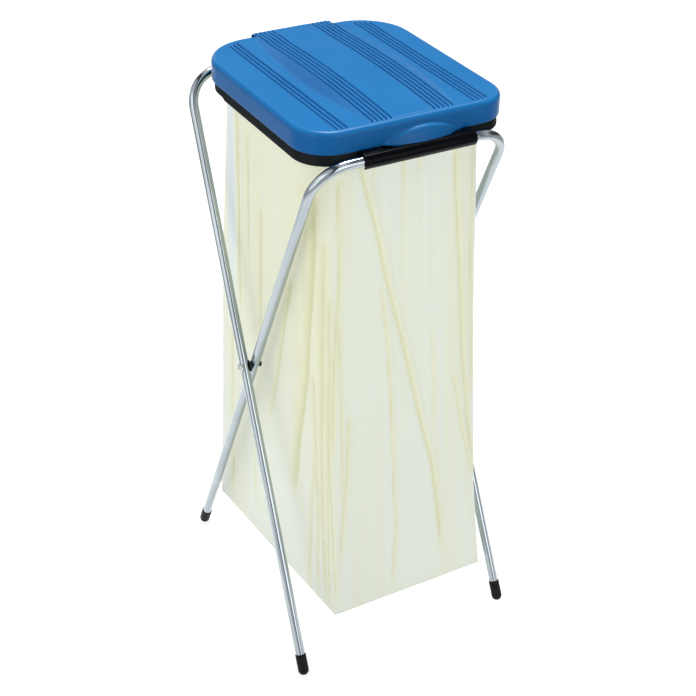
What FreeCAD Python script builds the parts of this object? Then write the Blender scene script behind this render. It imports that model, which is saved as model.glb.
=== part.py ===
"""Folding waste-sack stand: two U-shaped tube frames crossing at a side pivot, a bag ring and a lid.

Frame: X to the right, Y to the rear, Z up, millimetres. The origin is on the floor, below the
middle of the stand's outline. The front tube bar belongs to the inner frame, the rear bar to the
outer one. The bag ring and the lid both turn about the rear bar.
"""
import FreeCAD
import Part
import math
import os

V = FreeCAD.Vector

# Tube frames
TUBE_R = 8.0
TUBE_WALL = 1.2
BAR_Z = 950.0  # height of both top bars
BEND_R = 56.0  # centre-line radius of the corners
OUTER_FOOT_X = 204.0  # half widths where the leg axes meet the floor
INNER_FOOT_X = 186.0
SPLAY = 21.0  # each leg stands this much wider at the floor than at the bar
FRONT_FOOT_Y = -235.0
REAR_FOOT_Y = 235.0
FRONT_BAR_Y = -200.0
REAR_BAR_Y = 216.0

# Foot caps
CAP_R = 9.5
CAP_LENGTH = 30.0  # sleeve length above the rounded end
CAP_FLAT_R = 5.0  # radius of the small flat that stands on the floor

# Pivots
BOLT_R = 3.0
BOLT_HOLE_R = 3.05
HEAD_R = 7.5
HEAD_HEIGHT = 3.0
HEAD_RECESS_R = 1.6
HEAD_WASHER_R = 9.0
HEAD_WASHER_T = 1.0
SPACER_R = 10.0
NUT_R = 5.5
NUT_LENGTH = 5.0

# Bag ring: a rounded rectangle in plan, with wider corners at the rear
RING_CENTRE_X = 6.0  # the ring and the lid sit this far to the right on the bars
RING_HALF_X = 174.0
RING_FRONT_Y = -184.0
RING_REAR_Y = 203.0
RING_FRONT_R = 55.0
RING_REAR_R = 78.0
RING_WALL = 3.0
RING_LOW = 943.0
RING_HIGH = 966.0
RING_STEP_Y = 108.0  # behind here the wall's lower edge is a step higher
RING_STEP = 3.0

# Clamping hoop inside the ring
HOOP_GAP = 2.6
HOOP_WALL = 2.4
HOOP_LOW = 946.0
HOOP_FLANGE_T = 2.2

# Front clip
CLIP_CENTRE_X = 7.0
CLIP_HALF_X = 96.0
CLIP_CLEARANCE = 0.3
CLIP_WALL = 3.0
CLIP_EXIT_ANGLE = -59.0  # the way the front bar leaves the clip, below the rearward direction
CLIP_LIP = 6.5
WEB_T = 4.0
FLANGE_T = 3.0  # plate of the clip against the ring
FLANGE_LOW = 948.0
SHOULDER_X = 36.0
SHOULDER_RISE = 1.0
SKIRT_GAP = 0.7  # room between the clip and the lid's skirt

# Countersunk screws, driven from inside the ring
SCREW_R = 2.0
SCREW_HEAD_R = 3.8
SCREW_HEAD_T = 1.8
SCREW_LENGTH = 6.5
SOCKET_R = 1.2  # radius and depth of the driver's recess
CLIP_SCREW_X = 70.0  # either side of the clip's middle
SADDLE_SCREW_X = 7.0  # either side of each saddle's middle
SADDLE_SCREW_RISE = 8.0  # above the ring's lower edge at the rear

# Rear saddles, by which the ring hangs on the rear bar
FIT = 0.1
SADDLE_X = 94.0
SADDLE_HALF_X = 13.0
SADDLE_WALL = 3.4
SADDLE_ARC = (-20, 230)  # degrees round the bar, from the rear over the top

# Lid
LID_HALF_X = 177.0
LID_FRONT_Y = -188.0
LID_REAR_Y = 216.0
LID_FRONT_R = 59.0
LID_REAR_R = 88.0
LID_LOW = 962.0
LID_TOP = 997.0
LID_WALL = 2.5
LID_EDGE_R = 9.0
LID_RIB_LOW = 972.0
LID_PAD_LOW = 968.5
LID_RIB_X = 88.0  # either side of the lid's middle
LID_RIB_ROWS = (-50.0, 80.0)
LID_RIB_MARGIN = 30.0  # the ribs end this far inside the lid's outline
LID_PAD_ROWS = (-85.0, 90.0)
LID_PAD_DEPTH = 9.0
BAND_CENTRE_X = 8.5
BAND_HALF_X = 70.0
BAND_RISE = 2.5
HOOD_REAR_Y = 227.5  # the band goes on as a hood over the rear bar
HOOD_FRONT_Y = 190.0
HOOD_EDGE_R = 11.0
GRIP_CENTRE_X = 20.0
GRIP_HALF_X = 68.0
GRIP_REACH = 12.0
GRIP_LOW = 963.0
GRIP_HIGH = 984.0

# Hook of the lid around the rear bar, inside the hood
HOOK_HALF_X = 66.0
HOOK_WALL = 3.4
HOOK_ARC = (-20, 200)

# Sack
FILM = 1.0  # the film is modelled thicker than the real 0.05
# height, left x, right x, front y, rear y, front and rear corner radius of the sack's outside
BAG_SECTIONS = (
    (80.0, -160.0, 173.0, -210.0, 220.0, 30.0, 30.0),
    (500.0, -156.0, 157.0, -186.0, 204.0, 34.0, 34.0),
    (905.0, -152.0, 154.0, -167.0, 192.0, 46.0, 62.0),
    (938.0, -164.4, 176.4, -180.4, 199.4, 52.0, 75.0),
    (963.0, -164.4, 176.4, -180.4, 199.4, 52.0, 75.0),
)


def unit(vector):
    """The vector's direction, with length one."""
    return vector * (1.0 / vector.Length)


def leg_axis(foot_x, foot_y, bar_y, side):
    """Floor point and top corner of one leg's centre line; side is -1 left or +1 right."""
    floor = V(side * foot_x, foot_y, 0)
    corner = V(side * (foot_x - SPLAY), bar_y, BAR_Z)
    return floor, corner


def on_axis_at_height(floor, corner, z):
    """The point of a leg's centre line at height z."""
    return floor + (corner - floor) * (z / BAR_Z)


def cap_centre_height():
    """Height of the rounded cap end's centre, so that the floor cuts it to its small flat."""
    return math.sqrt(CAP_R ** 2 - CAP_FLAT_R ** 2)


def corner_arc(start, corner, end, radius):
    """Tangent points and arc that round the corner between two straight runs."""
    back = unit(start - corner)
    ahead = unit(end - corner)
    half_angle = 0.5 * math.acos(back.dot(ahead))
    reach = radius / math.tan(half_angle)
    first = corner + back * reach
    last = corner + ahead * reach
    middle_way = unit(back + ahead)
    middle = corner + middle_way * (radius / math.sin(half_angle) - radius)
    return first, last, Part.Arc(first, middle, last).toShape()


def u_frame_path(foot_x, foot_y, bar_y):
    """Centre line of one U frame: left leg, left bend, top bar, right bend, right leg."""
    left_floor, left_corner = leg_axis(foot_x, foot_y, bar_y, -1)
    right_floor, right_corner = leg_axis(foot_x, foot_y, bar_y, 1)
    left_end = on_axis_at_height(left_floor, left_corner, cap_centre_height())
    right_end = on_axis_at_height(right_floor, right_corner, cap_centre_height())
    leg_top, bar_left, left_arc = corner_arc(left_end, left_corner, right_corner, BEND_R)
    bar_right, other_top, right_arc = corner_arc(left_corner, right_corner, right_end, BEND_R)
    edges = [
        Part.LineSegment(left_end, leg_top).toShape(),
        left_arc,
        Part.LineSegment(bar_left, bar_right).toShape(),
        right_arc,
        Part.LineSegment(other_top, right_end).toShape(),
    ]
    return Part.Wire(edges), left_end, leg_top


def round_bar(path, start, towards, radius):
    """A round bar of the given radius swept along a path."""
    ring = Part.Wire([Part.Circle(start, unit(towards - start), radius).toShape()])
    return Part.Wire(path).makePipeShell([ring], True, False)


def tube_frame(foot_x, foot_y, bar_y, pivot):
    """One bent tube with a bolt hole through each leg at the pivot."""
    path, start, towards = u_frame_path(foot_x, foot_y, bar_y)
    tube = round_bar(path, start, towards, TUBE_R)
    tube = tube.cut(round_bar(path, start, towards, TUBE_R - TUBE_WALL))
    length = 2 * OUTER_FOOT_X + 40
    drill = Part.makeCylinder(BOLT_HOLE_R, length, V(-length / 2, pivot.y, pivot.z), V(1, 0, 0))
    return tube.cut(drill)


def pivot_point():
    """Where the two frames' legs cross, seen from the side."""
    outer_run = REAR_BAR_Y - FRONT_FOOT_Y
    inner_run = FRONT_BAR_Y - REAR_FOOT_Y
    share = (REAR_FOOT_Y - FRONT_FOOT_Y) / (outer_run - inner_run)
    return V(0, FRONT_FOOT_Y + outer_run * share, BAR_Z * share)


def foot_cap(foot_x, foot_y, bar_y, side):
    """A moulded cap pushed over one leg's end, with a rounded tip that has a small flat."""
    floor, corner = leg_axis(foot_x, foot_y, bar_y, side)
    centre = on_axis_at_height(floor, corner, cap_centre_height())
    up = unit(corner - floor)
    cap = Part.makeSphere(CAP_R, centre)
    cap = cap.fuse(Part.makeCylinder(CAP_R, CAP_LENGTH - 1.5, centre, up))
    rim_base = centre + up * (CAP_LENGTH - 1.5)
    cap = cap.fuse(Part.makeCone(CAP_R, CAP_R - 1.2, 1.5, rim_base, up))
    cap = cap.removeSplitter()
    bore = Part.makeCylinder(TUBE_R, CAP_LENGTH + 10, centre, up)
    below_floor = Part.makeBox(80, 80, 40, V(centre.x - 40, centre.y - 40, -40))
    return cap.cut(bore).cut(below_floor)


def along_x(radius, length, x, pivot, side):
    """A cylinder that starts at x and runs inwards along the pivot axis on one side."""
    return Part.makeCylinder(radius, length, V(side * x, pivot.y, pivot.z), V(-side, 0, 0))


def pivot_stations(pivot):
    """The x of each face along one pivot, from the outside in."""
    outer_x = OUTER_FOOT_X - SPLAY * pivot.z / BAR_Z
    inner_x = INNER_FOOT_X - SPLAY * pivot.z / BAR_Z
    return {
        "outer_face": outer_x + TUBE_R,
        "gap_outer": outer_x - TUBE_R,
        "gap_inner": inner_x + TUBE_R,
        "inner_face": inner_x - TUBE_R,
    }


def pivot_bolt(pivot, side):
    """Domed rivet bolt with a recess in its head and a shank through both tubes."""
    stations = pivot_stations(pivot)
    head_base = stations["outer_face"] + HEAD_WASHER_T
    ball_r = (HEAD_R ** 2 + HEAD_HEIGHT ** 2) / (2 * HEAD_HEIGHT)
    ball = Part.makeSphere(ball_r, V(side * (head_base + HEAD_HEIGHT - ball_r), pivot.y, pivot.z))
    head = ball.common(along_x(HEAD_R, HEAD_HEIGHT, head_base + HEAD_HEIGHT, pivot, side))
    recess = along_x(HEAD_RECESS_R, 1.5, head_base + HEAD_HEIGHT, pivot, side)
    shank_end = stations["inner_face"] - NUT_LENGTH + 1.5
    shank = along_x(BOLT_R, head_base - shank_end, head_base, pivot, side)
    return head.cut(recess).fuse(shank).removeSplitter()


def saddle_washer(radius, x_outer, x_inner, pivot, side, tube_centres):
    """A washer on the pivot axis, hollowed where it lies against round tubes."""
    disc = along_x(radius, x_outer - x_inner, x_outer, pivot, side)
    disc = disc.cut(along_x(BOLT_HOLE_R, x_outer - x_inner, x_outer, pivot, side))
    for floor, corner in tube_centres:
        disc = disc.cut(Part.makeCylinder(TUBE_R, 1100, floor, unit(corner - floor)))
    return disc


def pivot_hardware(pivot, side):
    """Bolt, head washer, spacer and cap nut of one pivot, all on the outer frame."""
    stations = pivot_stations(pivot)
    outer_leg = leg_axis(OUTER_FOOT_X, FRONT_FOOT_Y, REAR_BAR_Y, side)
    head_x = stations["outer_face"] + HEAD_WASHER_T
    head_washer = saddle_washer(HEAD_WASHER_R, head_x, head_x - 2.6, pivot, side, [outer_leg])
    spacer = saddle_washer(
        SPACER_R, stations["gap_outer"] + 1.2, stations["gap_inner"] + 0.3, pivot, side, [outer_leg]
    )
    nut_x = stations["inner_face"] - 0.3
    nut = along_x(NUT_R, NUT_LENGTH, nut_x, pivot, side)
    dome = Part.makeSphere(NUT_R * 1.6, V(side * (nut_x - NUT_LENGTH + NUT_R * 1.6), pivot.y, pivot.z))
    nut = nut.common(dome).cut(pivot_bolt(pivot, side))
    return {
        "pivot_bolt": pivot_bolt(pivot, side),
        "pivot_head_washer": head_washer,
        "pivot_spacer": spacer,
        "pivot_cap_nut": nut,
    }


def rounded_wire(x0, x1, y0, y1, front_r, rear_r, z):
    """A closed wire around a rectangle with round corners, one radius at the front and one at the rear."""
    corners = [V(x0, y0, z), V(x1, y0, z), V(x1, y1, z), V(x0, y1, z)]
    radii = [front_r, front_r, rear_r, rear_r]
    edges = []
    arcs = []
    for i, corner in enumerate(corners):
        arcs.append(corner_arc(corners[i - 1], corner, corners[(i + 1) % 4], radii[i]))
    for i, (_, last, arc) in enumerate(arcs):
        edges.append(arc)
        edges.append(Part.LineSegment(last, arcs[(i + 1) % 4][0]).toShape())
    return Part.Wire(edges)


def ring_plan(inset, z):
    """The ring's outline, drawn in by inset."""
    return rounded_wire(
        RING_CENTRE_X - RING_HALF_X + inset,
        RING_CENTRE_X + RING_HALF_X - inset,
        RING_FRONT_Y + inset,
        RING_REAR_Y - inset,
        RING_FRONT_R - inset,
        RING_REAR_R - inset,
        z,
    )


def plate(wire, height):
    """A solid that rises from a closed plan wire."""
    return Part.Face(wire).extrude(V(0, 0, height))


def band(inset, wall, low, high):
    """An upright closed band in the ring's plan, wall thick, its outside drawn in by inset."""
    outside = plate(ring_plan(inset, low), high - low)
    return outside.cut(plate(ring_plan(inset + wall, low - 1), high - low + 2))


def clip_screw_places():
    """Where the front clip's screws start, on the inside of the ring's front wall."""
    z = 0.5 * (FLANGE_LOW + BAR_Z + TUBE_R)
    return [V(CLIP_CENTRE_X + side * CLIP_SCREW_X, RING_FRONT_Y + RING_WALL, z) for side in (-1, 1)]


def saddle_screw_places():
    """Where the rear saddles' screws start, on the inside of the ring's rear wall."""
    z = RING_LOW + RING_STEP + SADDLE_SCREW_RISE
    places = []
    for side in (-1, 1):
        for step in (-SADDLE_SCREW_X, SADDLE_SCREW_X):
            places.append(V(RING_CENTRE_X + side * SADDLE_X + step, RING_REAR_Y - RING_WALL, z))
    return places


def screw(place, way):
    """A countersunk screw whose head is flush at place and whose shank runs the given way."""
    head = Part.makeCone(SCREW_HEAD_R, SCREW_R, SCREW_HEAD_T, place, way)
    shank = Part.makeCylinder(SCREW_R, SCREW_LENGTH, place, way)
    socket = Part.makeCylinder(SOCKET_R, SOCKET_R, place, way)
    return head.fuse(shank).removeSplitter().cut(socket)


def screw_hole(place, way):
    """The space that such a screw fills."""
    head = Part.makeCone(SCREW_HEAD_R, SCREW_R, SCREW_HEAD_T, place, way)
    return head.fuse(Part.makeCylinder(SCREW_R, SCREW_LENGTH, place, way))


def clip_screws():
    """The two screws that hold the front clip to the ring."""
    return [screw(place, V(0, -1, 0)) for place in clip_screw_places()]


def saddle_screws():
    """The four screws that hold the rear saddles to the ring."""
    return [screw(place, V(0, 1, 0)) for place in saddle_screw_places()]


def bag_ring():
    """Moulded ring: an upright wall, stepped at the rear, with countersunk screw holes."""
    ring = band(0.0, RING_WALL, RING_LOW, RING_HIGH)
    step_corner = V(RING_CENTRE_X - RING_HALF_X - 1, RING_STEP_Y, RING_LOW)
    step = Part.makeBox(2 * RING_HALF_X + 2, 200, RING_STEP, step_corner)
    ring = ring.cut(step)
    for place in clip_screw_places():
        ring = ring.cut(screw_hole(place, V(0, -1, 0)))
    for place in saddle_screw_places():
        ring = ring.cut(screw_hole(place, V(0, 1, 0)))
    return ring


def clamp_hoop():
    """Hoop that presses the sack's mouth against the ring; its flange rests on the ring's top."""
    inset = RING_WALL + HOOP_GAP
    hoop = band(inset, HOOP_WALL, HOOP_LOW, RING_HIGH)
    flange = band(0.0, inset + HOOP_WALL, RING_HIGH, RING_HIGH + HOOP_FLANGE_T)
    return hoop.fuse(flange).removeSplitter()


def sector(radius, start_deg, end_deg, centre_y, x0, x1):
    """A pie slice about a bar axis; 0 degrees points to the rear and 90 up."""
    centre = V(x0, centre_y, BAR_Z)
    start = math.radians(start_deg)
    end = math.radians(end_deg)
    middle = 0.5 * (start + end)
    first = centre + V(0, math.cos(start), math.sin(start)) * radius
    half_way = centre + V(0, math.cos(middle), math.sin(middle)) * radius
    last = centre + V(0, math.cos(end), math.sin(end)) * radius
    edges = [
        Part.LineSegment(centre, first).toShape(),
        Part.Arc(first, half_way, last).toShape(),
        Part.LineSegment(last, centre).toShape(),
    ]
    return Part.Face(Part.Wire(edges)).extrude(V(x1 - x0, 0, 0))


def front_clip():
    """Half shell over the front bar with a straight lip below and a web back to the ring."""
    x0 = CLIP_CENTRE_X - CLIP_HALF_X
    length = 2 * CLIP_HALF_X
    inner_r = TUBE_R + CLIP_CLEARANCE
    outer_r = inner_r + CLIP_WALL
    start = CLIP_EXIT_ANGLE + 90
    end = CLIP_EXIT_ANGLE + 270
    clip = sector(outer_r, start, end, FRONT_BAR_Y, x0, x0 + length)
    clip = clip.fuse(clip_lip(x0, length, inner_r, outer_r, math.radians(end)))
    web_low = BAR_Z + inner_r * math.sin(math.radians(start)) + 1.0
    web_front = FRONT_BAR_Y + inner_r * math.cos(math.radians(start))
    clip = clip.fuse(Part.makeBox(length, RING_FRONT_Y - web_front, WEB_T, V(x0, web_front, web_low)))
    flange_size = (length, FLANGE_T, web_low + WEB_T - FLANGE_LOW)
    clip = clip.fuse(Part.makeBox(*flange_size, V(x0, RING_FRONT_Y - FLANGE_T, FLANGE_LOW)))
    # shoulders: two raised blocks above the shell's ends, in front of the lid's skirt
    shoulder_front = FRONT_BAR_Y - 2.0
    shoulder_rear = LID_FRONT_Y - SKIRT_GAP
    shoulder_size = (SHOULDER_X, shoulder_rear - shoulder_front, BAR_Z + outer_r + SHOULDER_RISE - web_low)
    for shoulder_x in (x0, x0 + length - SHOULDER_X):
        clip = clip.fuse(Part.makeBox(*shoulder_size, V(shoulder_x, shoulder_front, web_low)))
    clip = clip.cut(Part.makeCylinder(inner_r, length, V(x0, FRONT_BAR_Y, BAR_Z), V(1, 0, 0)))
    for place in clip_screw_places():
        clip = clip.cut(screw_hole(place, V(0, -1, 0)))
    return clip.removeSplitter()


def clip_lip(x0, length, inner_r, outer_r, angle):
    """A flat strip that goes on from the shell's front end, along the bar's way out."""
    radial = V(0, math.cos(angle), math.sin(angle))
    way_angle = math.radians(CLIP_EXIT_ANGLE)
    way = V(0, math.cos(way_angle), math.sin(way_angle)) * CLIP_LIP
    base = V(x0, FRONT_BAR_Y, BAR_Z)
    strip = [base + radial * inner_r, base + radial * outer_r]
    strip.append(base + radial * (outer_r - 0.8) + way)
    strip.append(base + radial * inner_r + way)
    return Part.Face(Part.makePolygon(strip + [strip[0]])).extrude(V(length, 0, 0))


def bar_hook(x0, x1, wall, start_deg, end_deg):
    """A C-shaped shell around the rear bar; 0 degrees points to the rear and 90 up."""
    return sector(TUBE_R + FIT + wall, start_deg, end_deg, REAR_BAR_Y, x0, x1)


def bar_bore(x0, x1):
    """The space of the rear bar with its running clearance."""
    return Part.makeCylinder(TUBE_R + FIT, x1 - x0, V(x0, REAR_BAR_Y, BAR_Z), V(1, 0, 0))


def rear_saddle(side):
    """Hook that hangs the ring on the rear bar, with a plate against the ring."""
    x0 = RING_CENTRE_X + side * SADDLE_X - SADDLE_HALF_X
    x1 = x0 + 2 * SADDLE_HALF_X
    low = RING_LOW + RING_STEP
    saddle = bar_hook(x0, x1, SADDLE_WALL, *SADDLE_ARC)
    saddle = saddle.fuse(
        Part.makeBox(x1 - x0, REAR_BAR_Y - RING_REAR_Y, LID_LOW - 1.0 - low, V(x0, RING_REAR_Y, low))
    )
    saddle = saddle.cut(bar_bore(x0, x1))
    for place in saddle_screw_places():
        saddle = saddle.cut(screw_hole(place, V(0, 1, 0)))
    return saddle.removeSplitter()


def bag():
    """The sack, open at the top: a ruled shell through its sections with a flat bottom."""
    outer_wires = []
    inner_wires = []
    for i, (z, x0, x1, y0, y1, front_r, rear_r) in enumerate(BAG_SECTIONS):
        outer_wires.append(rounded_wire(x0, x1, y0, y1, front_r, rear_r, z))
        inner = (x0 + FILM, x1 - FILM, y0 + FILM, y1 - FILM, front_r - FILM, rear_r - FILM)
        inner_wires.append(rounded_wire(*inner, z + FILM if i == 0 else z))
    return Part.makeLoft(outer_wires, True, True).cut(Part.makeLoft(inner_wires, True, True))


def lid_outline(inset, z):
    """The lid's plan, drawn in by inset."""
    return rounded_wire(
        RING_CENTRE_X - LID_HALF_X + inset,
        RING_CENTRE_X + LID_HALF_X - inset,
        LID_FRONT_Y + inset,
        LID_REAR_Y - inset,
        LID_FRONT_R - inset,
        LID_REAR_R - inset,
        z,
    )


def soft_block(inset, low, high, edge_r):
    """A block in the lid's plan whose top edge is rounded."""
    block = plate(lid_outline(inset, low), high - low)
    top_edges = [e for e in block.Edges if e.BoundBox.ZMin > high - 0.01]
    return block.makeFillet(edge_r, top_edges)


def lid_grip():
    """The crescent grip in the middle of the lid's front skirt."""
    front = LID_FRONT_Y + 1.0
    low = grip_section(GRIP_HALF_X, LID_FRONT_Y - GRIP_REACH, front, GRIP_LOW)
    high = grip_section(GRIP_HALF_X * 0.8, LID_FRONT_Y - GRIP_REACH * 0.25, front, GRIP_HIGH)
    return Part.makeLoft([low, high], True, True)


def grip_section(half_x, tip_y, front, z):
    """One level of the grip: an arc closed by a straight line inside the skirt."""
    left = V(GRIP_CENTRE_X - half_x, front, z)
    right = V(GRIP_CENTRE_X + half_x, front, z)
    arc = Part.Arc(left, V(GRIP_CENTRE_X, tip_y, z), right).toShape()
    return Part.Wire([arc, Part.LineSegment(right, left).toShape()])


def lid_shell():
    """Moulded lid: skirted shell, raised centre band, front grip, ribs and pads below, rear hood."""
    lid = soft_block(0.0, LID_LOW, LID_TOP, LID_EDGE_R)
    raised = soft_block(4.0, LID_LOW + 8.0, LID_TOP + BAND_RISE, LID_EDGE_R - 1.0)
    strip_low = V(BAND_CENTRE_X - BAND_HALF_X, LID_FRONT_Y - 10, LID_LOW)
    strip = Part.makeBox(2 * BAND_HALF_X, LID_REAR_Y - LID_FRONT_Y + 20, 60, strip_low)
    lid = lid.fuse(raised.common(strip)).fuse(lid_grip())
    hollow = soft_block(LID_WALL, LID_LOW - 5.0, LID_TOP - LID_WALL, LID_EDGE_R - LID_WALL)
    lid = lid.fuse(lid_hood(0.0)).cut(hollow).cut(lid_hood(LID_WALL))
    for stiffener in lid_ribs() + lid_pads():
        lid = lid.fuse(stiffener.common(hollow))
    bore = bar_bore(BAND_CENTRE_X - BAND_HALF_X, BAND_CENTRE_X + BAND_HALF_X)
    return lid.fuse(lid_hook()).cut(bore).removeSplitter()


def lid_hood(inset):
    """The band's rear end, a box rounded over the rear bar; inset gives the space inside it."""
    half = BAND_HALF_X - inset
    rear = HOOD_REAR_Y - inset
    top = LID_TOP + BAND_RISE - inset
    corner = V(BAND_CENTRE_X - half, HOOD_FRONT_Y, BAR_Z - inset)
    hood = Part.makeBox(2 * half, rear - HOOD_FRONT_Y, top - corner.z, corner)
    top_rear = [e for e in hood.Edges if e.BoundBox.ZMin > top - 0.01 and e.BoundBox.YMin > rear - 0.01]
    return hood.makeFillet(HOOD_EDGE_R - inset, top_rear).cut(below_hood())


def below_hood():
    """The space in front of the rear bar and below the lid's skirt, kept free of the hood."""
    low = V(-LID_HALF_X, HOOD_FRONT_Y - 1, BAR_Z - 10)
    return Part.makeBox(2 * LID_HALF_X, REAR_BAR_Y - HOOD_FRONT_Y + 1, LID_LOW - BAR_Z + 10, low)


def lid_ribs():
    """Stiffening ribs under the lid's top, two each way, clear of the hoop below."""
    height = LID_TOP - LID_RIB_LOW
    length = LID_REAR_Y - LID_FRONT_Y - 2 * LID_RIB_MARGIN
    left = RING_CENTRE_X - LID_HALF_X + LID_RIB_MARGIN
    ribs = []
    for x in (RING_CENTRE_X - LID_RIB_X, RING_CENTRE_X + LID_RIB_X):
        ribs.append(Part.makeBox(2.0, length, height, V(x - 1, LID_FRONT_Y + LID_RIB_MARGIN, LID_RIB_LOW)))
    for y in LID_RIB_ROWS:
        ribs.append(Part.makeBox(2 * (LID_HALF_X - LID_RIB_MARGIN), 2.0, height, V(left, y - 1, LID_RIB_LOW)))
    return ribs


def lid_pads():
    """Four pads inside the lid's side skirts, which rest on the hoop's flange."""
    height = LID_TOP - LID_PAD_LOW
    pads = []
    for y in LID_PAD_ROWS:
        for x in (RING_CENTRE_X - LID_HALF_X + 1, RING_CENTRE_X + LID_HALF_X - 1 - LID_PAD_DEPTH):
            pads.append(Part.makeBox(LID_PAD_DEPTH, 4.0, height, V(x, y - 2, LID_PAD_LOW)))
    return pads


def lid_hook():
    """The C-shaped hook inside the hood, by which the lid turns on the rear bar, and its web."""
    x0 = BAND_CENTRE_X - HOOK_HALF_X
    x1 = BAND_CENTRE_X + HOOK_HALF_X
    hook = bar_hook(x0, x1, HOOK_WALL, *HOOK_ARC)
    web_low = BAR_Z + TUBE_R + FIT + 1.0
    web = Part.makeBox(x1 - x0, 3.0, LID_TOP - 1.0 - web_low, V(x0, REAR_BAR_Y - 1.5, web_low))
    return hook.fuse(web)


def build():
    """Every node's shape, by name."""
    pivot = pivot_point()
    outer = (OUTER_FOOT_X, FRONT_FOOT_Y, REAR_BAR_Y)
    inner = (INNER_FOOT_X, REAR_FOOT_Y, FRONT_BAR_Y)
    shapes = {
        "outer_tube_frame": tube_frame(*outer, pivot),
        "inner_tube_frame": tube_frame(*inner, pivot),
    }
    for side, name in ((-1, "left"), (1, "right")):
        shapes["front_foot_cap_" + name] = foot_cap(*outer, side)
        shapes["rear_foot_cap_" + name] = foot_cap(*inner, side)
        for part, shape in pivot_hardware(pivot, side).items():
            shapes[part + "_" + name] = shape
        shapes["rear_saddle_" + name] = rear_saddle(side)
    shapes["bag_ring"] = bag_ring()
    shapes["bag_clamp_hoop"] = clamp_hoop()
    shapes["front_clip"] = front_clip()
    shapes["front_clip_screws"] = Part.makeCompound(clip_screws())
    shapes["rear_saddle_screws"] = Part.makeCompound(saddle_screws())
    shapes["bag"] = bag()
    shapes["lid_shell"] = lid_shell()
    return shapes


os.makedirs("parts", exist_ok=True)
for node, shape in build().items():
    shape.exportStep("parts/" + node + ".step")
    box = shape.BoundBox
    print(
        f"{node:26s} solids {len(shape.Solids)} valid {shape.isValid()} volume {shape.Volume:10.0f}"
        f"  x {box.XMin:.1f} {box.XMax:.1f}  y {box.YMin:.1f} {box.YMax:.1f}  z {box.ZMin:.1f} {box.ZMax:.1f}"
    )
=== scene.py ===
"""Folding waste-sack stand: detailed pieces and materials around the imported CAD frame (metres)."""
import math

import bmesh
import bpy
import numpy as np
from mathutils import Matrix, Vector


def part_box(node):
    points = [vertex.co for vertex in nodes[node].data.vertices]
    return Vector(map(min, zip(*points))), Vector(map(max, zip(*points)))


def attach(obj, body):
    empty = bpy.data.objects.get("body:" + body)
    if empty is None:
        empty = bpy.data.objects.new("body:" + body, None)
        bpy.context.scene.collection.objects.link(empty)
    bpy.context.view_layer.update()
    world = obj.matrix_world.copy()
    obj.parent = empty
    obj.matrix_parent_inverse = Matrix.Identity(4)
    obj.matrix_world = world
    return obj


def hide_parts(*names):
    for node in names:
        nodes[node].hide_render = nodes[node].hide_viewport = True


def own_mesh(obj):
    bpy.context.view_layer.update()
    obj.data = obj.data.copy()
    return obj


MM = 0.001

# Lid, measured from the ring below it
SKIRT_REACH = 3 * MM  # the skirt's sides stand this far outside the ring's wall
SKIRT_FRONT = 4 * MM
SKIRT_REAR = 13 * MM
LID_FRONT_R = 59 * MM
LID_REAR_R = 88 * MM
LID_EDGE_R = 9 * MM
LID_WALL = 2.5 * MM
LID_LOW = 962 * MM
LID_TOP = 997 * MM
GROOVE_PITCH = 7.8 * MM
GROOVE_WIDTH = 3.6 * MM
GROOVE_DEPTH = 2.4 * MM
GROOVE_FLOOR = 0.28  # half width of a groove's floor and of its mouth, in groove widths
GROOVE_MOUTH = 0.56
GROOVE_STATIONS = (-GROOVE_MOUTH, -0.42, -GROOVE_FLOOR, GROOVE_FLOOR, 0.42, GROOVE_MOUTH)
GROOVE_END_FADE = 1.5 * MM  # half length of the slope at a groove's end
PATTERN_X = 8.5 * MM  # middle of the groove pattern and of the crowned band
OUTER_GROUP_X = 119 * MM
INNER_GROUP_X = 53 * MM
INNER_GROOVES = 5
GROOVE_FRONT_END = 2.5 * MM  # grooves stop this far inside the top's flat
GROOVE_REAR_END = 6 * MM
BAND_HALF_X = 71 * MM
BAND_CROWN = 7.5 * MM
BAND_SLOPE = 27 * MM  # widest width of the slopes beside the crowned band
BAND_LEAST_SLOPE = 1.5 * MM
BAND_REAR_STEP = 2.4 * MM
BAND_STEP_Y = (150 * MM, 190 * MM)
PATTERN_FADE = 5 * MM  # the band starts this far inside the top's edge
HOOD_FRONT_Y = 196 * MM
HOOD_EDGE_R = 11 * MM
HOOD_SIDE_DROP = 1.2 * MM  # the hood's surface is this much lower at its sides
HOOD_SIDE_WIDTH = 1.5 * MM
GRIP_X = 20 * MM
GRIP_HALF_X = 69 * MM
GRIP_REACH = 14 * MM
GRIP_RISE = 23 * MM
GRIP_SHELF = 4 * MM  # height over which the grip's upper edge comes out
GRIP_DROP = 5 * MM
GRIP_DROP_RISE = 14 * MM
LID_ROW_STEP = 1.6 * MM  # between rows of points near the front and rear edges
LEAST_COLUMN_GAP = 0.4 * MM
RIB_WIDTH = 2 * MM
RIB_LOW = 972 * MM
RIB_HIGH = LID_TOP - 4.0 * MM
RIB_X = 88 * MM  # of the long ribs, from the ring's middle
RIB_ROWS = (-50 * MM, 80 * MM)
RIB_MARGIN = 30 * MM
PAD_ROWS = (-85 * MM, 90 * MM)
PAD_WIDTH = 4 * MM
PAD_NEAR = 1 * MM  # the pads reach from here to there inside the lid's sides
PAD_FAR = 10 * MM
PAD_GAP = 0.3 * MM  # above the hoop
HOOK_HALF_X = 66 * MM
HOOK_GAP = 0.1 * MM
HOOK_WALL = 3.3 * MM
HOOK_WEB_HALF = 1.5 * MM

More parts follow.
